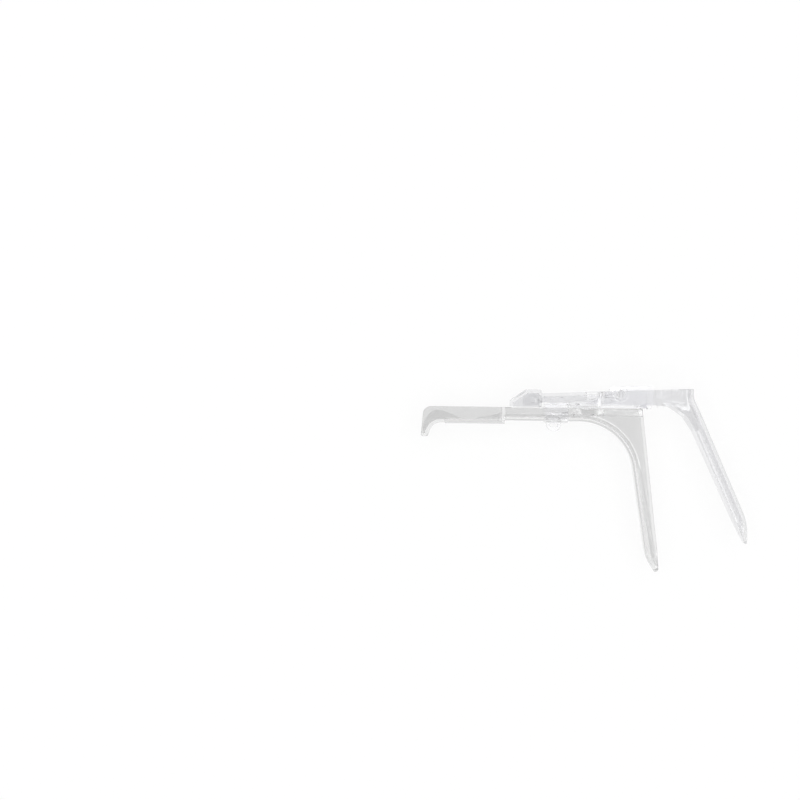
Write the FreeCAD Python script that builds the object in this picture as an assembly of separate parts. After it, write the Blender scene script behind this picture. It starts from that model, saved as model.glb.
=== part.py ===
import FreeCAD, Part
import math
import os

# A single-use bivalve speculum of clear polystyrene, in millimetres, lying on its side.
# X runs along the handle, towards the mouth of the blades.
# Y points out of the mouth, and the blades run towards -Y. Z is up, across the width.
# The origin is the hinge axis, on the plane that the yoke's side plate rests on.
# Every solid is drawn about the middle plane and lifted at the end.

V = FreeCAD.Vector
LONG = 200.0    # longer than the part, for tools that cut right through

# Widths and walls
overall_width = 38.0      # over the flanges of the yoke's side plates
channel_width = 19.0      # lower blade and handle, outside
wall = 1.8                # lower blade and handle
yoke_wall = 1.6
blade_wall = 1.6          # upper blade and its arms
arm_play = 0.2            # each side, between the upper arms and the yoke's plates
slide_play = 0.1          # all round, between the handle and the sleeve

# Handle and its channel, measured down from the hinge axis
rim_drop = 8.4            # open edge of the channel
channel_depth = 8.0       # sliding stretch, rim to underside
channel_radius = 5.0      # outer corners of the sliding stretch and of the bend
grip_depth = 10.1         # rim to underside at the grip
grip_radius = 3.0
grip_end_x = -68.0        # where the grip meets the sliding stretch
grip_start_x = -103.6     # where the hook begins
hook_x = -116.4           # back of the hook at the rim
hook_corner = 4.8
hook_tip_x = -118.0
hook_tip_drop = 26.4
hook_tip_width = 4.1
hook_step = 0.5           # the hook's underside is this much shallower than the grip's
hook_throat = 7.0         # inner radius of the hook
rib_thickness = 1.8       # stiffening rib inside the grip
rib_scoop_x = -83.6       # where the rib starts to climb again, towards the cross wall
rib_scoop_drop = 6.4      # below the rim, at the middle of the rib
rib_end_drop = 3.1        # below the rim, at the cross wall
cross_wall = 1.7          # wall across the channel at the end of the grip

# Ratchet notches in the channel's rims
notch_pitch = 2.1
notch_depth = 0.6
notch_first_x = -64.0
notch_last_x = -38.0

# Bend and lower blade
bend_x = -23.3            # where the handle starts to bend
bend_radius = 33.0        # underside of the bend
blade_lean = 8.6          # degrees, underside of the blade from square to the handle
blade_length = 63.2       # from the end of the bend to the tip
mouth_x = 14.4            # corner of the rim at the mouth
mouth_drop = 12.5         # where the flared lip begins
rim_lean = 6.7            # degrees, rim of the blade
blade_radius = 7.2        # outer corners at the middle of the blade
nose_length = 15.2        # stretch that rounds off to the tip
nose_rise = 4.6           # how far the underside rises to the tip
tip_wall = 2.6
tip_share = 0.15          # width left at the very tip, of the whole
flare_top_drop = 8.3
flare_end_x = 13.3        # the lip's upper corner at the mouth
flare_start_x = -27.0
flare_full_x = -9.0
flare_width = 28.4        # outside, at the mouth

# Sleeve of the yoke
sleeve_x = -44.3
sleeve_length = 14.1
sleeve_floor = 1.0
sleeve_side = 1.6
sleeve_top_drop = 6.9     # upper face of the sleeve's lid
lid_thickness = 1.0
pawl_length = 1.0
pawl_clearance = 0.1      # over the crests of the ratchet
slit_width = 0.7          # each side of the spring tongue
slit_length = 9.0
comb_length = 11.3        # notched rib along the middle of the lid
comb_thickness = 3.0
comb_top_drop = 2.2
comb_notch_xs = (-41.5, -36.6)
comb_notch_width = 2.4
comb_notch_drop = 5.6
side_recess = 0.4         # shallow panel in each side of the sleeve

# Finger loop under the sleeve
loop_x = -43.0
loop_length = 8.8
loop_drop = 22.4
loop_width = 14.0
loop_corner = 3.8
loop_slot_length = 5.0
loop_slot_height = 1.6
loop_slot_drop = 18.2

# Yoke arms and pivot plates
plate_x = 19.3            # free end of the plates
plate_start_x = -13.0     # where the arms have reached their full width
plate_drop = 7.9          # lower edge, along the flange
plate_end_drop = 6.6      # lower edge beyond the flange
plate_rise = 4.3          # top edge at the near end, which climbs towards the free end
flange_reach = 0.9        # how far the flanges stand out from the plates
flange_thickness = 1.1
flange_end_x = 14.0
tab_drop = 8.4            # small stop tab under the free end
boss_radius = 4.4         # round the hinge
top_slope = 2.54          # degrees, top edge of the plates and of the upper arms
strip_x = -3.2            # where the top flange begins

# Hinge and its ratchet
stud_radius = 2.5
stud_clearance = 0.05     # radial, in the yoke's holes
stud_recess = 0.1         # the stud ends this far below the plate's outer face
pawl_pin_radius = 0.8
pawl_circle = 9.5         # radius of the pin's path round the hinge
pawl_pin_angle = 188.5    # degrees, with the blades fully open
hinge_travel = 17.3       # degrees
tooth_count = 8
tooth_height = 0.6
sector_margin = 8.0       # degrees of slot beyond the pin's travel

# Upper blade
arm_top_x = 44.2          # outside of the arch
arm_top_rise = 4.0        # top edge there
arm_drop = 6.3            # lower edge of the arms
upper_lean = 23.9         # degrees, from square to the handle
root_x = 52.9             # outside of the blade where the hood ends
root_drop = 18.5
upper_length = 74.4       # from the root to the tip
upper_width = 20.4
upper_depth = 7.9         # rim to outside at the root
upper_tip_depth = 6.6
upper_nose = 18.4
upper_nose_rise = 5.0
upper_radius = 6.9
hood_radius = 5.0
hood_depth = 20.0         # filled depth of the hood, past the trimmed rims
hood_trim_x = 22.0        # where the arms start to count as hood
hood_rim_x = 31.5         # where the rim of the hood leaves the arms' lower edge
hood_shoulder_x = 40.0    # where the rim turns down along the blade
hood_shoulder_drop = 12.5
upper_fill = 14.2         # filled depth of the upper blade, past its trimmed rims

# Thumb lever
lever_width = 15.0
lever_x = -64.8
lever_drop = 8.05         # underside of the thumb pad, just over the handle
lever_join_x = -21.0      # where the lever starts to widen into the arms
lever_relief_x = -46.2    # the lever is shallower from here, over the sleeve
lever_relief_drop = 5.4
pad_back_drop = 4.3
pad_top_x = -54.0
pad_top_rise = 2.4
pad_scoop = 1.6
lever_web = 1.8
pad_rib_thickness = 2.4
t_slot_x = -49.2         # notch in the rib under the pad

# Fineness of the rounded stretches
corner_steps = 7          # facets in a channel's rounded corner
nose_steps = 7            # from the straight stretch to the tip
nose_turn = math.radians(80)
hood_steps = 3            # between two sections of the hood

half = overall_width / 2
channel_half = channel_width / 2
rim_y = -rim_drop
web_y = rim_y - channel_depth
plate_half = half - flange_reach
arm_half = plate_half - yoke_wall - arm_play
sleeve_end_x = sleeve_x + sleeve_length


def outline(corners, place=V):
    """A closed wire through (a, b, radius) corners, each rounded with its radius, in the plane that place gives."""
    count = len(corners)
    starts = []
    edges = []
    for i in range(count):
        a, b, radius = corners[i]
        here = V(a, b, 0)
        before = V(corners[i - 1][0], corners[i - 1][1], 0) - here
        after = V(corners[(i + 1) % count][0], corners[(i + 1) % count][1], 0) - here
        if radius <= 0:
            starts.append((here, here))
            continue
        before.normalize()
        after.normalize()
        opening = before.getAngle(after)
        reach = radius / math.tan(opening / 2)
        middle = before + after
        middle.normalize()
        deep = here + middle * (radius / math.sin(opening / 2) - radius)
        into = here + before * reach
        out = here + after * reach
        starts.append((into, out))
        edges.append(Part.Arc(place(*into), place(*deep), place(*out)).toShape())
    for i in range(count):
        leave = starts[i][1]
        arrive = starts[(i + 1) % count][0]
        if leave.distanceToPoint(arrive) > 1e-6:
            edges.append(Part.LineSegment(place(*leave), place(*arrive)).toShape())
    return Part.Wire(Part.__sortEdges__(edges))


def side_prism(corners, half_width):
    """The side view outline, as thick as twice half_width about the middle plane."""
    face = Part.Face(outline(corners))
    face.translate(V(0, 0, -half_width))
    return face.extrude(V(0, 0, 2 * half_width))


def side_slab(corners, z_low, z_high):
    """The side view outline between two heights, and its mirror image."""
    face = Part.Face(outline(corners))
    face.translate(V(0, 0, z_low))
    slab = face.extrude(V(0, 0, z_high - z_low))
    return both_sides(slab)


def plan_prism(corners, y_low, y_high):
    """An outline of (x, z, radius) corners, seen from the mouth, between two levels of Y."""
    face = Part.Face(outline(corners, lambda a, b, c: V(a, y_low, b)))
    return face.extrude(V(0, y_high - y_low, 0))


def both_sides(shape):
    """A shape with its mirror image across the middle plane."""
    return Part.makeCompound([shape, shape.mirror(V(0, 0, 0), V(0, 0, 1))])


def fuse(shapes):
    """One solid of several that overlap or share faces."""
    joined = shapes[0].multiFuse(shapes[1:])
    return joined.removeSplitter()


def channel_points(depth, half_width, radius):
    """Half-round corners and open ends of a channel's section, as (depth from the web, side) pairs."""
    turns = [i * math.pi / 2 / corner_steps for i in range(corner_steps + 1)]
    corner = [(radius * (1 - math.cos(t)), half_width - radius * (1 - math.sin(t))) for t in turns]
    edge = corner + [(depth, half_width)]
    return [(a, -b) for a, b in reversed(edge)] + edge


def channel_wire(web, inward, depth, half_width, radius):
    """A filled channel's section, from its rounded web towards the open side, facing inward."""
    points = [web + inward * a + V(0, 0, b) for a, b in channel_points(depth, half_width, radius)]
    return Part.makePolygon(points + points[:1])


def trough(x, y_web, y_open, half_width, radius):
    """The section of a filled channel across X, rounded at its web and open at the other side."""
    return Part.Face(channel_wire(V(x, y_web, 0), V(0, 1, 0), y_open - y_web, half_width, radius))


def blade_axes(lean, side):
    """The direction down a blade, and the one across it from its web to its rim."""
    turn = math.radians(lean)
    return V(math.sin(turn), -math.cos(turn), 0), V(math.cos(turn), math.sin(turn), 0) * side


def blade_body(start, lean, side, length, nose, rise, depth, half_width, radii, inset, end_gap):
    """A filled blade: a straight stretch, then a nose that rounds off. Inset gives the inner face."""
    along, across = blade_axes(lean, side)
    straight = length - nose

    def section(s, u, radius):
        width = (half_width - inset) * (tip_share + (1 - tip_share) * math.sqrt(1 - u * u))
        web = start + along * s + across * (inset + rise * u * u)
        return channel_wire(web, across, depth, width, min(radius - inset, 0.9 * width))

    wires = [section(0, 0, radii[0])]
    for i in range(nose_steps + 1):
        u = math.sin(nose_turn * i / nose_steps)
        wires.append(section(straight + u * (nose - end_gap), u, radii[1]))
    return Part.makeLoft(wires, True, True)


def lower_channel(inset, end_gap):
    """The filled sliding stretch, bend and blade. Inset gives the hollow inside."""
    half_width = channel_half - inset
    radius = channel_radius - inset
    high = -mouth_drop + bend_radius / 2
    centre = V(bend_x, web_y - bend_radius, 0)
    section = trough(bend_x, web_y + inset, high, half_width, radius)
    straight = section.extrude(V(grip_end_x - bend_x, 0, 0))
    bend = section.revolve(centre, V(0, 0, 1), -(90 - blade_lean))
    blade = blade_body(lower_root(), blade_lean, 1, blade_length, nose_length, nose_rise,
                       2 * channel_depth, channel_half, (channel_radius, blade_radius), inset, end_gap)
    return fuse([straight, bend, blade])


def lower_root():
    """Where the underside of the lower blade leaves the bend."""
    lean = math.radians(blade_lean)
    return V(bend_x, web_y - bend_radius, 0) + V(math.cos(lean), math.sin(lean), 0) * bend_radius


def lower_trim():
    """Side view of the sliding stretch, the bend and the blade, with the rims where they really end."""
    along, across = blade_axes(blade_lean, 1)
    end = lower_root() + along * (blade_length - 0.2)
    rim = V(math.sin(math.radians(rim_lean)), -math.cos(math.radians(rim_lean)), 0)
    mouth = V(mouth_x, -mouth_drop, 0)
    reach = (end - mouth).dot(along) / rim.dot(along)
    corner = mouth + rim * reach
    back = end - across * 4
    return [
        (grip_end_x, rim_y, 0),
        (flare_start_x, rim_y, 0),
        (flare_start_x, -mouth_drop, 0),
        (mouth_x, -mouth_drop, 1.0),
        (corner.x, corner.y, 2.0),
        (back.x, back.y, 0),
        (bend_x, back.y, 0),
        (bend_x, web_y - 3, 0),
        (grip_end_x, web_y - 3, 0),
    ]


def flare():
    """The lip that flares out at the mouth, along both sides."""
    low = -mouth_drop - 0.3
    top = -flare_top_drop
    out = flare_width / 2

    def ring(level, reach, end_x):
        points = [
            (flare_start_x, channel_half),
            (flare_full_x, reach),
            (end_x, reach),
            (end_x, reach - wall),
            (flare_full_x, reach - wall),
            (flare_start_x, channel_half - wall),
        ]
        return Part.makePolygon([V(x, level, z) for x, z in points + points[:1]])

    lip = Part.makeLoft([ring(low, channel_half, mouth_x), ring(top, out, flare_end_x)], True, True)
    return both_sides(lip)


def grip():
    """The handle's grip and its hook: an open channel with a rounded underside."""
    bottom = rim_y - grip_depth
    hook_bottom = bottom + hook_step
    body = trough(grip_start_x, bottom, rim_y, channel_half, grip_radius)
    body = body.extrude(V(grip_end_x - grip_start_x, 0, 0))
    hollow = trough(grip_start_x - 1, bottom + wall, rim_y + 5, channel_half - wall, grip_radius - wall + 0.4)
    hollow = hollow.extrude(V(grip_end_x - cross_wall - grip_start_x + 1, 0, 0))
    tip_y = -hook_tip_drop
    hook = side_prism([
        (grip_start_x, rim_y, 0),
        (hook_x, rim_y, hook_corner),
        (hook_tip_x, tip_y, 1.2),
        (hook_tip_x + hook_tip_width, tip_y, 1.4),
        (hook_x + 5.4, hook_bottom, hook_throat),
        (grip_start_x, hook_bottom, 0),
    ], channel_half)
    hook_hollow = side_prism([
        (grip_start_x + 1, rim_y + 5, 0),
        (hook_x - 9, rim_y + 5, 0),
        (hook_tip_x - 9, tip_y + wall, 0),
        (hook_tip_x + hook_tip_width - wall, tip_y + wall, 0.8),
        (hook_x + 5.4 - wall * 0.7, hook_bottom + wall, hook_throat + wall),
        (grip_start_x + 1, hook_bottom + wall, 0),
    ], channel_half - wall)
    channel = fuse([body.cut(hollow), hook.cut(hook_hollow)])
    return fuse([channel, grip_rib()])


def grip_rib():
    """The stiffening rib along the middle of the grip, scooped out towards its middle."""
    bottom = rim_y - grip_depth
    top = [
        V(hook_tip_x + 2.3, -hook_tip_drop + 1.0, 0),
        V(hook_x + 1.4, rim_y - 7.2, 0),
        V(hook_x + 6.2, rim_y - 2.6, 0),
        V(grip_start_x + 9.0, rim_y - rib_scoop_drop, 0),
        V(rib_scoop_x, rim_y - rib_scoop_drop, 0),
        V(grip_end_x - 1.0, rim_y - rib_end_drop, 0),
    ]
    crest = Part.BSplineCurve()
    crest.interpolate(top)
    back = Part.makePolygon([
        top[-1],
        V(grip_end_x - 1.0, bottom + 1, 0),
        V(grip_start_x, bottom + 1, 0),
        V(hook_x + 7.0, bottom + 1.4, 0),
        V(hook_x + 4.2, bottom - 2.0, 0),
        V(hook_tip_x + hook_tip_width - 1.0, -hook_tip_drop + 1.0, 0),
        top[0],
    ])
    face = Part.Face(Part.Wire([crest.toShape()] + back.Edges))
    face.translate(V(0, 0, -rib_thickness / 2))
    return face.extrude(V(0, 0, rib_thickness))


def ratchet_notches():
    """Saw-tooth notches across both rims of the sliding stretch."""
    cuts = []
    x = notch_first_x
    while x < notch_last_x:
        cuts.append(side_prism([
            (x, rim_y + 1, 0),
            (x, rim_y - notch_depth, 0),
            (x + 0.8 * notch_pitch, rim_y, 0),
            (x + 0.8 * notch_pitch, rim_y + 1, 0),
        ], channel_half + 1))
        x += notch_pitch
    return cuts


def lower_blade():
    channel = lower_channel(0, 0).common(side_prism(lower_trim(), channel_half + 1))
    channel = channel.cut(lower_channel(wall, tip_wall))
    stop = Part.makeBox(cross_wall, channel_depth - 0.5, channel_width - 2 * wall + 0.4,
                        V(grip_end_x - cross_wall + 0.2, web_y + 0.2, -channel_half + wall - 0.2))
    body = fuse([channel, grip(), stop, *flare().Solids])
    return body.cut(Part.makeCompound(ratchet_notches()))


def yoke_plan(reach):
    """Plan of one wall of the yoke, its outer face moved out by reach beyond the sleeve."""
    outer = channel_half + slide_play + sleeve_side
    inner = channel_half + slide_play
    return [
        (sleeve_x, outer, 0),
        (sleeve_end_x, outer, 3),
        (plate_start_x, plate_half + reach, 5),
        (plate_x, plate_half + reach, 0),
        (plate_x, plate_half - yoke_wall, 0),
        (plate_start_x + 0.6, plate_half - yoke_wall, 3.5),
        (sleeve_end_x + 0.6, inner, 2),
        (sleeve_x, inner, 0),
    ]


def plate_top(x):
    """Level of the top edge of the pivot plates."""
    return plate_rise + (x - strip_x) * math.tan(math.radians(top_slope))


def yoke_walls():
    """The sleeve's sides, the diverging arms and the pivot plates, with their flanges turned out."""
    lower_edge = [
        (flange_end_x, -plate_drop),
        (plate_start_x + 3.6, -plate_drop),
        (sleeve_end_x + 5.7, -plate_drop - 0.9),
        (sleeve_end_x, -plate_drop + 0.5),
    ]
    side = [
        (sleeve_x, -sleeve_top_drop, 0),
        (sleeve_end_x, -sleeve_top_drop + 1.7, 0),
        (plate_start_x - 1.7, -2.3, 2),
        (plate_start_x + 1.2, 1.0, 2),
        (strip_x, 2.0, 0.3),
        (strip_x, plate_rise, 0),
        (plate_x, plate_top(plate_x), 0.5),
        (plate_x, -plate_end_drop, 1.5),
        (plate_x - 0.9, -plate_end_drop, 0),
        (plate_x - 1.4, -tab_drop, 0.8),
        (plate_x - 4.0, -tab_drop, 0.4),
        (plate_x - 4.3, -plate_end_drop, 0.3),
        (flange_end_x, -plate_end_drop, 0),
        *[(x, y, 0) for x, y in lower_edge],
        (sleeve_end_x, web_y + channel_radius, 0),
        (sleeve_x, web_y + channel_radius, 0),
    ]
    top_band = [
        (strip_x, plate_rise, 0),
        (plate_x, plate_top(plate_x), 0),
        (plate_x, plate_top(plate_x) - flange_thickness, 0),
        (strip_x, plate_rise - flange_thickness, 0),
    ]
    raised = [(x, y + flange_thickness) for x, y in reversed(lower_edge)]
    low_band = [(x, y, 0) for x, y in lower_edge + raised]
    pieces = [plan_prism(yoke_plan(0), -LONG, LONG).common(side_prism(side, LONG))]
    wide = plan_prism(yoke_plan(flange_reach), -LONG, LONG)
    pieces.append(wide.common(side_prism(top_band, LONG)))
    pieces.append(wide.common(side_prism(low_band, LONG)))
    pieces.append(Part.makeCylinder(boss_radius, half - plate_half + yoke_wall / 2,
                                    V(0, 0, plate_half - yoke_wall / 2)))
    return both_sides(fuse(pieces))


def sleeve():
    """The closed collar that slides on the handle, with its spring tongue and pawls."""
    inner = channel_half + slide_play
    outer = inner + sleeve_side
    floor_y = web_y - slide_play - sleeve_floor
    lid_y = -sleeve_top_drop
    radius = channel_radius + slide_play
    shell = trough(sleeve_x, floor_y, lid_y, outer, radius + sleeve_floor)
    bore = trough(sleeve_x, web_y - slide_play, lid_y - lid_thickness, inner, radius)
    collar = shell.extrude(V(sleeve_length, 0, 0)).cut(bore.extrude(V(sleeve_length, 0, 0)))
    slit = Part.makeBox(slit_length, 4 * lid_thickness, slit_width,
                        V(sleeve_x, lid_y - 2 * lid_thickness, inner - slit_width - 0.4))
    collar = collar.cut(both_sides(slit))
    middle = sleeve_x + sleeve_length / 2
    panel = side_slab([
        (middle - 5.4, rim_y - 0.9, 0.5),
        (middle - 4.0, rim_y - 4.2, 1.0),
        (middle + 2.4, rim_y - 4.2, 1.0),
        (middle + 3.8, rim_y - 0.9, 0.5),
    ], outer - side_recess, outer + 1)
    collar = collar.cut(panel)
    pawl_top = lid_y - lid_thickness + 0.2
    pawl_y = rim_y + pawl_clearance
    pawl = side_slab([
        (sleeve_x + 0.4, pawl_top, 0),
        (sleeve_x + 0.4, pawl_y, 0),
        (sleeve_x + 0.4 + 0.3, pawl_y, 0),
        (sleeve_x + 0.4 + pawl_length, pawl_top, 0),
    ], channel_half - wall, inner - slit_width - 0.6)
    return fuse([collar, *pawl.Solids])


def finger_loop():
    """The D-shaped loop under the sleeve."""
    top = web_y - slide_play - sleeve_floor / 2
    body = side_prism([
        (loop_x, top, 0),
        (loop_x, -loop_drop, loop_corner),
        (loop_x + loop_length, -loop_drop, loop_corner),
        (loop_x + loop_length, top, 0),
    ], loop_width / 2)
    middle = loop_x + loop_length / 2
    left = middle - loop_slot_length / 2
    slot = side_prism([
        (left, -loop_slot_drop, 0.3),
        (left, -loop_slot_drop - loop_slot_height, 1.3),
        (left + loop_slot_length, -loop_slot_drop - loop_slot_height, 1.3),
        (left + loop_slot_length, -loop_slot_drop, 0.3),
    ], loop_width)
    return body.cut(slot)


def comb():
    """The notched rib that stands on the lid, in the hollow of the thumb lever."""
    rib = side_prism([
        (sleeve_x, -sleeve_top_drop - 0.5, 0),
        (sleeve_x, -comb_top_drop, 0.4),
        (sleeve_x + comb_length, -comb_top_drop, 0.4),
        (sleeve_x + comb_length, -sleeve_top_drop - 0.5, 0),
    ], comb_thickness / 2)
    reach = comb_notch_width / 2
    for x in comb_notch_xs:
        rib = rib.cut(side_prism([
            (x - reach, 0, 0),
            (x - reach, -comb_notch_drop, reach * 0.95),
            (x + reach, -comb_notch_drop, reach * 0.95),
            (x + reach, 0, 0),
        ], LONG))
    return rib


def sector_slot():
    """The toothed slot in a pivot plate that the upper blade's pawl pin moves in."""
    first = pawl_pin_angle - hinge_travel - sector_margin
    last = pawl_pin_angle + sector_margin
    near = pawl_circle - pawl_pin_radius - 0.2
    crest = pawl_circle + pawl_pin_radius + 0.1
    points = []
    pitch = (last - first) / tooth_count
    for i in range(tooth_count):
        angle = first + i * pitch
        points.append((crest, angle))
        points.append((crest + tooth_height, angle + 0.3 * pitch))
        points.append((crest + tooth_height, angle + 0.7 * pitch))
    points.append((crest, last))

    def at(radius, degrees):
        turn = math.radians(degrees)
        return V(radius * math.cos(turn), radius * math.sin(turn), 0)

    rim = [at(radius, angle) for radius, angle in points]
    edges = Part.makePolygon([at(near, first)] + rim + [at(near, last)]).Edges
    edges.append(Part.Arc(at(near, last), at(near, (first + last) / 2), at(near, first)).toShape())
    face = Part.Face(Part.Wire(Part.__sortEdges__(edges)))
    face.translate(V(0, 0, -LONG))
    return face.extrude(V(0, 0, 2 * LONG))


def yoke():
    walls = yoke_walls()
    body = fuse([sleeve(), *walls.Solids, finger_loop(), comb()])
    holes = Part.makeCylinder(stud_radius + stud_clearance, 2 * LONG, V(0, 0, -LONG))
    return body.cut(Part.makeCompound([holes, sector_slot()]))


def top_at(x):
    """Level of the top edge of the arms and the lever."""
    return arm_top_rise - (arm_top_x - x) * math.tan(math.radians(top_slope))


def lever():
    """The thumb lever: a channel open downwards, with a scooped pad at its end."""
    half_width = lever_width / 2
    join = lever_join_x + 0.01
    body = side_prism([
        (lever_x, -lever_drop, 0),
        (lever_x, -pad_back_drop, 0.8),
        (pad_top_x - 1.4, pad_top_rise - 0.3, 2.5),
        (pad_top_x + 0.8, pad_top_rise, 1.0),
        (lever_relief_x, pad_top_rise, 1.3),
        (lever_relief_x, top_at(lever_relief_x), 0.4),
        (join, top_at(join), 0),
        (join, -lever_relief_drop, 0),
        (lever_relief_x, -lever_relief_drop, 0.5),
        (lever_relief_x, -lever_drop, 0.5),
    ], half_width)
    hollow = side_prism([
        (lever_x + lever_web, -lever_drop - 1, 0),
        (lever_x + lever_web, -pad_back_drop - 1.4, 0.8),
        (pad_top_x - 0.2, pad_top_rise - 2.2, 2.0),
        (lever_relief_x - 2.0, pad_top_rise - 2.2, 0.8),
        (lever_relief_x - 0.4, top_at(lever_relief_x) - lever_web, 0.8),
        (join + 1, top_at(join) - lever_web, 0),
        (join + 1, -lever_drop - 1, 0),
    ], half_width - blade_wall)
    rise = pad_top_rise + pad_back_drop
    scoop = Part.makeSphere(1.0)
    stretch = FreeCAD.Matrix()
    stretch.scale(math.hypot(rise, pad_top_x - lever_x) * 0.46, pad_scoop, half_width * 0.72)
    scoop = scoop.transformGeometry(stretch)
    scoop.rotate(V(0, 0, 0), V(0, 0, 1), math.degrees(math.atan2(rise, pad_top_x - lever_x)))
    scoop.translate(V((lever_x + pad_top_x) / 2 - 0.4, (pad_top_rise - pad_back_drop) / 2 + 0.5, 0))
    return fuse([body.cut(Part.makeCompound([hollow, scoop])), pad_rib()])


def pad_rib():
    """The notched rib under the thumb pad, in line with the one on the sleeve."""
    rib = side_prism([
        (pad_top_x - 3.0, -lever_drop + 0.8, 0.4),
        (pad_top_x - 3.0, -1.4, 0),
        (pad_top_x, 1.2, 0),
        (lever_relief_x - 1.0, 1.2, 0),
        (lever_relief_x - 1.0, -lever_drop + 0.8, 0.4),
    ], pad_rib_thickness / 2)
    notch = side_prism([
        (t_slot_x - 1.6, -2.7, 0.3),
        (t_slot_x - 1.6, -3.6, 0.3),
        (t_slot_x - 0.6, -3.6, 0),
        (t_slot_x - 0.6, -5.6, 0.5),
        (t_slot_x + 0.6, -5.6, 0.5),
        (t_slot_x + 0.6, -3.6, 0),
        (t_slot_x + 1.6, -3.6, 0.3),
        (t_slot_x + 1.6, -2.7, 0.3),
    ], LONG)
    return rib.cut(notch)


def upper_arms():
    """The walls that run from the lever out to the studs and on to the hood, and the web over the join."""
    lever_half = lever_width / 2
    widen_x = plate_start_x + 1.5
    plan = [
        (lever_join_x, lever_half, 0),
        (lever_join_x + 1.2, lever_half, 1.0),
        (widen_x, arm_half, 2.5),
        (arm_top_x - 14, arm_half, 0),
        (arm_top_x - 14, arm_half - blade_wall, 0),
        (widen_x + 1.0, arm_half - blade_wall, 1.5),
        (lever_join_x + 1.6, lever_half - blade_wall, 1.0),
        (lever_join_x, lever_half - blade_wall, 0),
    ]
    side = [
        (lever_join_x, top_at(lever_join_x), 0),
        (arm_top_x, top_at(arm_top_x), 0),
        (arm_top_x, -arm_drop, 0),
        (lever_join_x + 6, -arm_drop, 2),
        (lever_join_x, -lever_relief_drop, 0),
    ]
    walls = plan_prism(plan, -LONG, LONG).common(side_prism(side, LONG))
    fill = [
        (lever_join_x, lever_half - 0.5, 0),
        (lever_join_x + 1.2, lever_half - 0.5, 0),
        (widen_x, arm_half - 0.5, 0),
        (widen_x + 3.0, arm_half - 0.5, 0),
        (widen_x - 0.5, arm_half - 5.5, 2),
        (widen_x - 0.5, -arm_half + 5.5, 2),
        (widen_x + 3.0, -arm_half + 0.5, 0),
        (widen_x, -arm_half + 0.5, 0),
        (lever_join_x + 1.2, -lever_half + 0.5, 0),
        (lever_join_x, -lever_half + 0.5, 0),
    ]
    web = plan_prism(fill, -LONG, LONG).common(side_prism([
        (lever_join_x, top_at(lever_join_x), 0),
        (arm_top_x, top_at(arm_top_x), 0),
        (arm_top_x, top_at(arm_top_x) - lever_web, 0),
        (lever_join_x, top_at(lever_join_x) - lever_web, 0),
    ], LONG))
    return both_sides(walls).Solids + web.Solids


def smoothed(rows):
    """Rows of numbers with more rows between them, on a smooth curve through each column."""
    result = []
    for i in range(len(rows) - 1):
        before = rows[max(i - 1, 0)]
        here, there = rows[i], rows[i + 1]
        after = rows[min(i + 2, len(rows) - 1)]
        for k in range(hood_steps):
            t = k / hood_steps
            blend = (2 * t ** 3 - 3 * t ** 2 + 1, t ** 3 - 2 * t ** 2 + t, 3 * t ** 2 - 2 * t ** 3, t ** 3 - t ** 2)
            result.append([
                blend[0] * b + blend[1] * (c - a) / 2 + blend[2] * c + blend[3] * (d - b) / 2
                for a, b, c, d in zip(before, here, there, after)
            ])
    return result + [rows[-1]]


def hood(inset):
    """The filled funnel from the arch down to the root of the upper blade. Inset gives its hollow."""
    rows = [
        (arm_top_x, arm_top_rise + 1.5, 0.0, hood_depth, arm_half, hood_radius),
        (arm_top_x + 0.1, -1.5, 3.0, hood_depth, arm_half, hood_radius + 0.5),
        (root_x - 5.7, -root_drop + 10.9, 12.0, hood_depth, arm_half - 0.9, 6.0),
        (root_x - 2.8, -root_drop + 5.5, 19.0, 18.0, 12.9, 6.5),
        (root_x, -root_drop, upper_lean, upper_fill, upper_width / 2, upper_radius),
    ]
    wires = []
    for x, y, angle, depth, half_width, radius in smoothed(rows):
        turn = math.radians(angle)
        inward = V(-math.cos(turn), -math.sin(turn), 0)
        web = V(x, y, 0) + inward * inset
        wires.append(channel_wire(web, inward, depth, half_width - inset, radius - inset))
    return Part.makeLoft(wires, True, True)


def upper_trough(inset, end_gap):
    blade = blade_body(V(root_x, -root_drop, 0), upper_lean, -1, upper_length, upper_nose, upper_nose_rise,
                       upper_fill, upper_width / 2, (upper_radius, upper_radius), inset, end_gap)
    return fuse([hood(inset), blade])


def upper_trim():
    """Side view of the hood and the upper blade, with the rims where they really end."""
    along, across = blade_axes(upper_lean, -1)
    root = V(root_x, -root_drop, 0)
    rim_root = root + across * upper_depth
    end = root + along * (upper_length - 0.2)
    corner = end + across * upper_tip_depth
    back = end - across * 4
    return [
        (hood_trim_x, top_at(hood_trim_x), 0),
        (arm_top_x, top_at(arm_top_x), 1.0),
        (arm_top_x + 0.1, -1.0, 0),
        (LONG, -1.0, 0),
        (LONG, back.y, 0),
        (back.x, back.y, 0),
        (corner.x, corner.y, 1.6),
        (rim_root.x, rim_root.y, 16.0),
        (hood_shoulder_x, -hood_shoulder_drop, 9.0),
        (hood_rim_x, -arm_drop - 0.4, 5.0),
        (hood_trim_x, -arm_drop, 0),
    ]


def upper_blade():
    lean_box = side_prism(upper_trim(), LONG)
    shell = upper_trough(0, 0).common(lean_box).cut(upper_trough(blade_wall, tip_wall))
    z = arm_half - 0.5
    stud = Part.makeCylinder(stud_radius, half - stud_recess - z, V(0, 0, z))
    turn = math.radians(pawl_pin_angle)
    pin_at = V(pawl_circle * math.cos(turn), pawl_circle * math.sin(turn), z)
    pin = Part.makeCylinder(pawl_pin_radius, half - 4 * stud_recess - z, pin_at)
    studs = both_sides(stud).Solids + both_sides(pin).Solids
    return fuse([shell, *upper_arms(), lever(), *studs])


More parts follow.
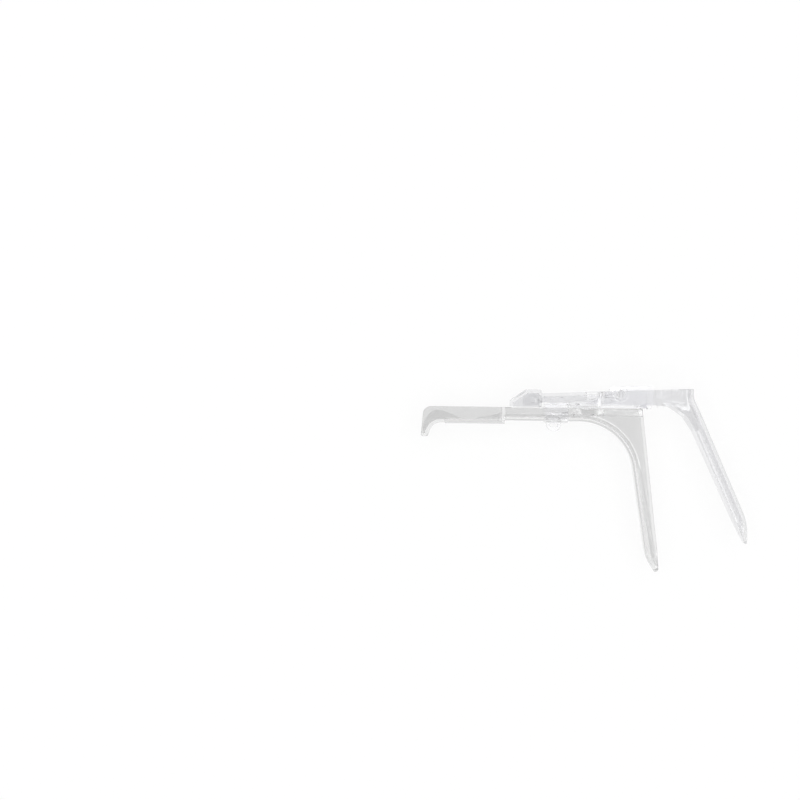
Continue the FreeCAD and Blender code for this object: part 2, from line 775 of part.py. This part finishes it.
def save(name, shape):
    """Lift a finished piece onto the resting plane and write it."""
    shape.translate(V(0, 0, half))
    shape.exportStep("parts/" + name + ".step")
    print(name, len(shape.Solids), "solid, valid:", shape.isValid(), "volume", round(shape.Volume, 1))


os.makedirs("parts", exist_ok=True)
save("lower_blade", lower_blade())
save("yoke", yoke())
save("upper_blade", upper_blade())
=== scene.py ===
import math

import bpy
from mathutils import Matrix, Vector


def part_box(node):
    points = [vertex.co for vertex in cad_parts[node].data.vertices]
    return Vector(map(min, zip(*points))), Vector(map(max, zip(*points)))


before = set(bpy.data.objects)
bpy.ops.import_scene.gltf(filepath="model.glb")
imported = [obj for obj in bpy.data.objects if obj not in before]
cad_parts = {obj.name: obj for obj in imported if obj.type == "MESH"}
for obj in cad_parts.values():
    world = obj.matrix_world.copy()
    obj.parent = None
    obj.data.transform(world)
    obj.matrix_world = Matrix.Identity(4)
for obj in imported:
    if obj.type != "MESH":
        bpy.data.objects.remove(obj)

# The looks of a clear moulded bivalve speculum that lies on its side on a white table.

bl_info = {
    "name": "Clear Bivalve Speculum",
    "version": (1, 0, 0),
    "blender": (4, 5, 0),
    "location": "View3D > Sidebar > Speculum",
    "description": "Finishes the mouldings of a clear bivalve speculum and lays out its stage",
    "category": "Object",
}

MM = 0.001

JOIN_DISTANCE = 0.06 * MM            # facets with corners closer than this are joined
SHARP_ANGLE = math.radians(35)       # edges that turn by more than this are softened
# Rays past either limit get a painted white glow in place of the light trapped inside a wall.
MIRRORED_LIMIT = 3.5                 # a ray mirrored more often than this runs along inside a wall
BOUNCE_LIMIT = 10.5                  # and so does a ray with more bounces than this
SENSOR_WIDTH = 36.0                  # millimetres, of the camera's sensor
CAMERA_SPOT = (-130.7 * MM, -5.1 * MM)    # the point of the table that the camera hangs over


def linear(hex_code):
    """An sRGB hex colour as linear red, green and blue."""
    channels = [int(hex_code[i:i + 2], 16) / 255 for i in (1, 3, 5)]
    return tuple(c / 12.92 if c <= 0.04045 else ((c + 0.055) / 1.055) ** 2.4 for c in channels)


def colour_setting(name, description, hex_code):
    """A colour in the sidebar, with its default as an sRGB hex colour."""
    return bpy.props.FloatVectorProperty(
        name=name, description=description, subtype="COLOR", size=3, min=0.0, max=1.0, default=linear(hex_code))


def length_setting(name, description, low, high, default):
    """A length in the sidebar. Its limits and its default are in millimetres."""
    return bpy.props.FloatProperty(
        name=name, description=description, subtype="DISTANCE", unit="LENGTH", precision=5,
        min=low * MM, max=high * MM, default=default * MM)


def hue_and_painted_shade_setting(hex_code):
    """The colour of a moulding's walls: the plastic's faint hue and a painted grey shade over what shows through
    them.
    """
    return colour_setting("Tint", "Colour that one wall gives to what shows through it", hex_code)


def edge_setting(default):
    """The rounding of a moulding's edges."""
    return length_setting("Edge Radius", "Rounding of the edges", 0, 1, default)


def ripple_size_setting(default):
    """The distance between a moulding's flow ripples."""
    return length_setting("Ripple Size", "Distance between flow ripples and sink marks", 0.5, 50, default)


def ripple_depth_setting(default):
    """The depth of a moulding's flow ripples."""
    return length_setting("Ripple Depth", "Depth of the flow ripples and sink marks", 0, 1, default)


def brightness_setting(name, description, default):
    """The brightness of a part of the room, where 1 shows as white."""
    return bpy.props.FloatProperty(name=name, description=description, min=0.0, max=10.0, default=default)


class ClearPlasticSettings(bpy.types.PropertyGroup):
    """What the three clear mouldings have in common."""
    refraction: bpy.props.FloatProperty(
        name="Refraction", description="Index of refraction of the plastic",
        min=1.3, max=1.8, default=1.59)
    polish: bpy.props.FloatProperty(
        name="Roughness", description="Roughness that the mould's polish leaves",
        subtype="FACTOR", min=0.0, max=1.0, default=0.01)
    # Strength of the painted white glow that stands in for light led along inside a wall.
    painted_glow_strength: bpy.props.FloatProperty(
        name="Painted Piped Glow", description="Brightness of light that has been led along inside a wall",
        min=0.0, max=1.0, default=0.7)


class LowerBladeSettings(bpy.types.PropertyGroup):
    """The plastic of the lower blade and its handle, which have the thickest walls. Its colour paints the darkest
    grey shade over what shows through it.
    """
    hue_and_painted_shade: hue_and_painted_shade_setting("#EBEBEB")
    edge_radius: edge_setting(0.25)
    ripple_size: ripple_size_setting(6.0)
    ripple_depth: ripple_depth_setting(0.004)


class YokeSettings(bpy.types.PropertyGroup):
    """The plastic of the yoke, which has the most sink marks. Its colour paints the lightest grey shade over what
    shows through it, with a faint blue hue.
    """
    hue_and_painted_shade: hue_and_painted_shade_setting("#FEFEFF")
    edge_radius: edge_setting(0.28)
    ripple_size: ripple_size_setting(4.0)
    ripple_depth: ripple_depth_setting(0.05)


class UpperBladeSettings(bpy.types.PropertyGroup):
    """The plastic of the upper blade, its arms and its thumb lever. Its colour paints a light grey shade over what
    shows through it, with a faint blue hue.
    """
    hue_and_painted_shade: hue_and_painted_shade_setting("#EFEFF0")
    edge_radius: edge_setting(0.22)
    ripple_size: ripple_size_setting(6.0)
    ripple_depth: ripple_depth_setting(0.004)


class StageSettings(bpy.types.PropertyGroup):
    """The table, the light round it and the camera over it."""
    table_size: length_setting("Table Size", "Width of the pale table", 1000, 20000, 8000)
    table_colour: colour_setting("Table Colour", "Colour of the matt table top", "#FEFEFE")
    shadow_depth: bpy.props.FloatProperty(
        name="Shadow Depth", description="Share of the table's look that is lit by the room and so takes shadows",
        subtype="FACTOR", min=0.0, max=1.0, default=0.1)
    panel_light: brightness_setting(
        "Panel Light", "Brightness of the white panels that stand all round, low down", 2.8)
    room_light: brightness_setting(
        "Room Light", "Brightness of the room between the panels and the lamps", 0.5)
    lamp_light: brightness_setting(
        "Lamp Light", "Brightness of the ring of soft lamps overhead", 3.3)
    top_light: brightness_setting(
        "Top Light", "Brightness inside the ring, where the camera hangs", 1.15)
    camera_height: length_setting(
        "Camera Height", "Height of the camera over the speculum's middle plane", 200, 5000, 1340)
    field_width: length_setting(
        "Field Width", "Width of what the camera sees at the middle plane", 50, 2000, 480)
    camera_turn: bpy.props.FloatProperty(
        name="Camera Turn", description="How far the camera is turned about its line of sight",
        subtype="ANGLE", unit="ROTATION", default=math.radians(0.8))


def node(tree, kind, settings=None, inputs=None):
    """Add a node to a tree, set its properties, and set or link its inputs by name or number."""
    made = tree.nodes.new(kind)
    for key, value in (settings or {}).items():
        setattr(made, key, value)
    for key, value in (inputs or {}).items():
        if isinstance(value, bpy.types.NodeSocket):
            tree.links.new(value, made.inputs[key])
        else:
            made.inputs[key].default_value = value
    return made


def output(tree, shader, kind="ShaderNodeOutputMaterial"):
    """Show a shader as the surface of a material or of the world."""
    node(tree, kind, inputs={"Surface": shader.outputs[0]})


def clear_polystyrene(name, look, ripple_shift):
    """Clear polystyrene, injection-moulded in a polished mould: sharp reflections and refraction,
    with faint flow ripples that make what shows through it swim a little."""
    plain = bpy.context.scene.clear_plastic
    material = bpy.data.materials.new(name)
    material.use_nodes = True
    tree = material.node_tree
    tree.nodes.clear()
    place = node(tree, "ShaderNodeTexCoord")
    moved = node(tree, "ShaderNodeMapping", inputs={
        "Vector": place.outputs["Object"], "Location": (ripple_shift, 0, 0)})
    ripples = node(tree, "ShaderNodeTexNoise", inputs={
        "Vector": moved.outputs["Vector"], "Scale": 1 / look.ripple_size, "Detail": 2.0, "Roughness": 0.45})
    bump = node(tree, "ShaderNodeBump", inputs={
        "Height": ripples.outputs["Fac"], "Strength": 1.0, "Distance": look.ripple_depth})
    plastic = node(tree, "ShaderNodeBsdfPrincipled", inputs={
        # Base colour: a painted grey shade over what shows through the walls, with the plastic's faint hue.
        "Base Color": (*look.hue_and_painted_shade, 1.0),
        "Roughness": plain.polish,
        "IOR": plain.refraction,
        "Transmission Weight": 1.0,
        "Normal": bump.outputs["Normal"],
    })
    # Light that is caught inside a wall comes out of its edges. The renderer drops such rays, so a painted white
    # glow stands in for that light: where a ray has been mirrored or has bounced past the limits, the plastic shows
    # an emission, a glow though it is no lamp.
    path = node(tree, "ShaderNodeLightPath")
    mirrored = node(tree, "ShaderNodeMath", {"operation": "GREATER_THAN"}, {
        0: path.outputs["Glossy Depth"], 1: MIRRORED_LIMIT})
    deep = node(tree, "ShaderNodeMath", {"operation": "GREATER_THAN"}, {
        0: path.outputs["Ray Depth"], 1: BOUNCE_LIMIT})
    painted_glow_mask = node(tree, "ShaderNodeMath", {"operation": "MAXIMUM"}, {0: mirrored.outputs[0], 1: deep.outputs[0]})
    # A painted white glow: an emission on the plastic that stands in for light trapped inside a wall.
    led = node(tree, "ShaderNodeEmission", inputs={"Color": (1, 1, 1, 1), "Strength": plain.painted_glow_strength})
    both = node(tree, "ShaderNodeMixShader", inputs={0: painted_glow_mask.outputs[0], 1: plastic.outputs[0], 2: led.outputs[0]})
    output(tree, both)
    return material


def soften_edges(moulding, radius):
    """Round every sharp edge as the mould does, so that edges catch the light."""
    weld = moulding.modifiers.new("join facets", "WELD")
    weld.merge_threshold = JOIN_DISTANCE
    bevel = moulding.modifiers.new("soft edges", "BEVEL")
    bevel.width = radius
    bevel.segments = 2
    bevel.limit_method = "ANGLE"
    bevel.angle_limit = SHARP_ANGLE
    bevel.harden_normals = True
    bevel.use_clamp_overlap = False


def finish_moulding(name, look, ripple_shift):
    """Give a moulding its clear plastic and its soft edges. The shift, in metres, gives it ripples of its own."""
    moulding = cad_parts[name]
    material = clear_polystyrene("Moulded clear polystyrene, " + name.replace("_", " "), look, ripple_shift)
    moulding.data.materials.clear()
    moulding.data.materials.append(material)
    soften_edges(moulding, look.edge_radius)


class SPECULUM_OT_lower_blade(bpy.types.Operator):
    """Finish the lower blade and its handle"""
    bl_idname = "speculum.finish_lower_blade"
    bl_label = "Finish Lower Blade"

    def execute(self, context):
        finish_moulding("lower_blade", context.scene.lower_blade_look, ripple_shift=0.0)
        return {"FINISHED"}


class SPECULUM_OT_yoke(bpy.types.Operator):
    """Finish the sliding yoke"""
    bl_idname = "speculum.finish_yoke"
    bl_label = "Finish Yoke"

    def execute(self, context):
        finish_moulding("yoke", context.scene.yoke_look, ripple_shift=3.0)
        return {"FINISHED"}


class SPECULUM_OT_upper_blade(bpy.types.Operator):
    """Finish the upper blade, its arms and its thumb lever"""
    bl_idname = "speculum.finish_upper_blade"
    bl_label = "Finish Upper Blade"

    def execute(self, context):
        finish_moulding("upper_blade", context.scene.upper_blade_look, ripple_shift=7.0)
        return {"FINISHED"}


class SPECULUM_OT_stage(bpy.types.Operator):
    """Lay out the white table, the soft light and the camera"""
    bl_idname = "speculum.lay_stage"
    bl_label = "Lay Out Stage"

    def execute(self, context):
        stage = context.scene.stage
        lay_table(stage)
        light_room(stage)
        hang_camera(context.scene, stage)
        context.scene.view_settings.view_transform = "Standard"
        return {"FINISHED"}


def lay_table(stage):
    """A matt white table top, which shows as plain white and keeps the speculum's soft shadow."""
    half = stage.table_size / 2
    corners = [(-half, -half, 0), (half, -half, 0), (half, half, 0), (-half, half, 0)]
    mesh = bpy.data.meshes.new("table")
    mesh.from_pydata(corners, [], [(0, 1, 2, 3)])
    table = bpy.data.objects.new("table", mesh)
    bpy.context.collection.objects.link(table)
    material = bpy.data.materials.new("Matt white table laminate")
    material.use_nodes = True
    tree = material.node_tree
    tree.nodes.clear()
    matt = node(tree, "ShaderNodeBsdfDiffuse", inputs={"Color": (*stage.table_colour, 1.0)})
    path = node(tree, "ShaderNodeLightPath")
    seen = node(tree, "ShaderNodeMath", {"operation": "MAXIMUM"}, {
        0: path.outputs["Is Camera Ray"], 1: path.outputs["Is Glossy Ray"]})
    seen = node(tree, "ShaderNodeMath", {"operation": "MAXIMUM"}, {
        0: seen.outputs[0], 1: path.outputs["Is Transmission Ray"]})
    lift = node(tree, "ShaderNodeMath", {"operation": "MULTIPLY"}, {
        0: seen.outputs[0], 1: 1 - stage.shadow_depth})
    glow = node(tree, "ShaderNodeEmission", inputs={"Color": (1, 1, 1, 1), "Strength": 1.0})
    both = node(tree, "ShaderNodeMixShader", inputs={0: lift.outputs[0], 1: matt.outputs[0], 2: glow.outputs[0]})
    output(tree, both)
    mesh.materials.append(material)


def light_room(stage):
    """A plain room with white panels low down all round and a ring of soft lamps overhead."""
    # The sine of the angle over the horizon, and the brightness there
    heights = (
        (0.0, stage.panel_light), (0.10, stage.panel_light),
        (0.20, stage.room_light), (0.85, stage.room_light),
        (0.87, stage.lamp_light), (0.93, stage.lamp_light),
        (0.955, stage.top_light), (1.0, stage.top_light),
    )
    brightest = max(light for height, light in heights)
    world = bpy.data.worlds.new("white studio")
    bpy.context.scene.world = world
    world.use_nodes = True
    tree = world.node_tree
    tree.nodes.clear()
    place = node(tree, "ShaderNodeTexCoord")
    split = node(tree, "ShaderNodeSeparateXYZ", inputs={0: place.outputs["Generated"]})
    room = node(tree, "ShaderNodeValToRGB", inputs={0: split.outputs["Z"]})
    stops = room.color_ramp.elements
    while len(stops) < len(heights):
        stops.new(1.0)
    for stop, (height, light) in zip(stops, heights):
        stop.position = height
        stop.color = (light / brightest,) * 3 + (1.0,)
    sky = node(tree, "ShaderNodeBackground", inputs={"Color": room.outputs["Color"], "Strength": brightest})
    output(tree, sky, "ShaderNodeOutputWorld")


def hang_camera(scene, stage):
    """The camera, which hangs over the table left of the speculum and looks straight down."""
    data = bpy.data.cameras.new("camera")
    data.sensor_width = SENSOR_WIDTH
    data.lens = SENSOR_WIDTH * stage.camera_height / stage.field_width
    data.clip_end = 50.0
    camera = bpy.data.objects.new("camera", data)
    scene.collection.objects.link(camera)
    low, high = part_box("yoke")
    middle = (low[2] + high[2]) / 2
    camera.location = (*CAMERA_SPOT, middle + stage.camera_height)
    camera.rotation_euler = (0, 0, stage.camera_turn)
    scene.camera = camera


class SPECULUM_PT_sidebar(bpy.types.Panel):
    """The speculum's finishes and its stage"""
    bl_idname = "SPECULUM_PT_sidebar"
    bl_label = "Clear Bivalve Speculum"
    bl_space_type = "VIEW_3D"
    bl_region_type = "UI"
    bl_category = "Speculum"

    def draw(self, context):
        layout = self.layout
        scene = context.scene
        for title, settings, steps in (
            ("Clear plastic", scene.clear_plastic, ()),
            ("Lower blade", scene.lower_blade_look, (SPECULUM_OT_lower_blade,)),
            ("Yoke", scene.yoke_look, (SPECULUM_OT_yoke,)),
            ("Upper blade", scene.upper_blade_look, (SPECULUM_OT_upper_blade,)),
            ("Stage", scene.stage, (SPECULUM_OT_stage,)),
        ):
            column = layout.box().column()
            column.label(text=title)
            for key in type(settings).__annotations__:
                column.prop(settings, key)
            for step in steps:
                column.operator(step.bl_idname)


GROUPS = {
    "clear_plastic": ClearPlasticSettings,
    "lower_blade_look": LowerBladeSettings,
    "yoke_look": YokeSettings,
    "upper_blade_look": UpperBladeSettings,
    "stage": StageSettings,
}
STEPS = (SPECULUM_OT_lower_blade, SPECULUM_OT_yoke, SPECULUM_OT_upper_blade, SPECULUM_OT_stage)
CLASSES = (*GROUPS.values(), *STEPS, SPECULUM_PT_sidebar)


def register():
    for cls in CLASSES:
        bpy.utils.register_class(cls)
    for key, group in GROUPS.items():
        setattr(bpy.types.Scene, key, bpy.props.PointerProperty(type=group))


def unregister():
    for key in GROUPS:
        delattr(bpy.types.Scene, key)
    for cls in reversed(CLASSES):
        bpy.utils.unregister_class(cls)


def main():
    register()
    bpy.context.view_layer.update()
    bpy.ops.speculum.finish_lower_blade()
    bpy.ops.speculum.finish_yoke()
    bpy.ops.speculum.finish_upper_blade()
    bpy.ops.speculum.lay_stage()


if __name__ == "__main__":
    main()
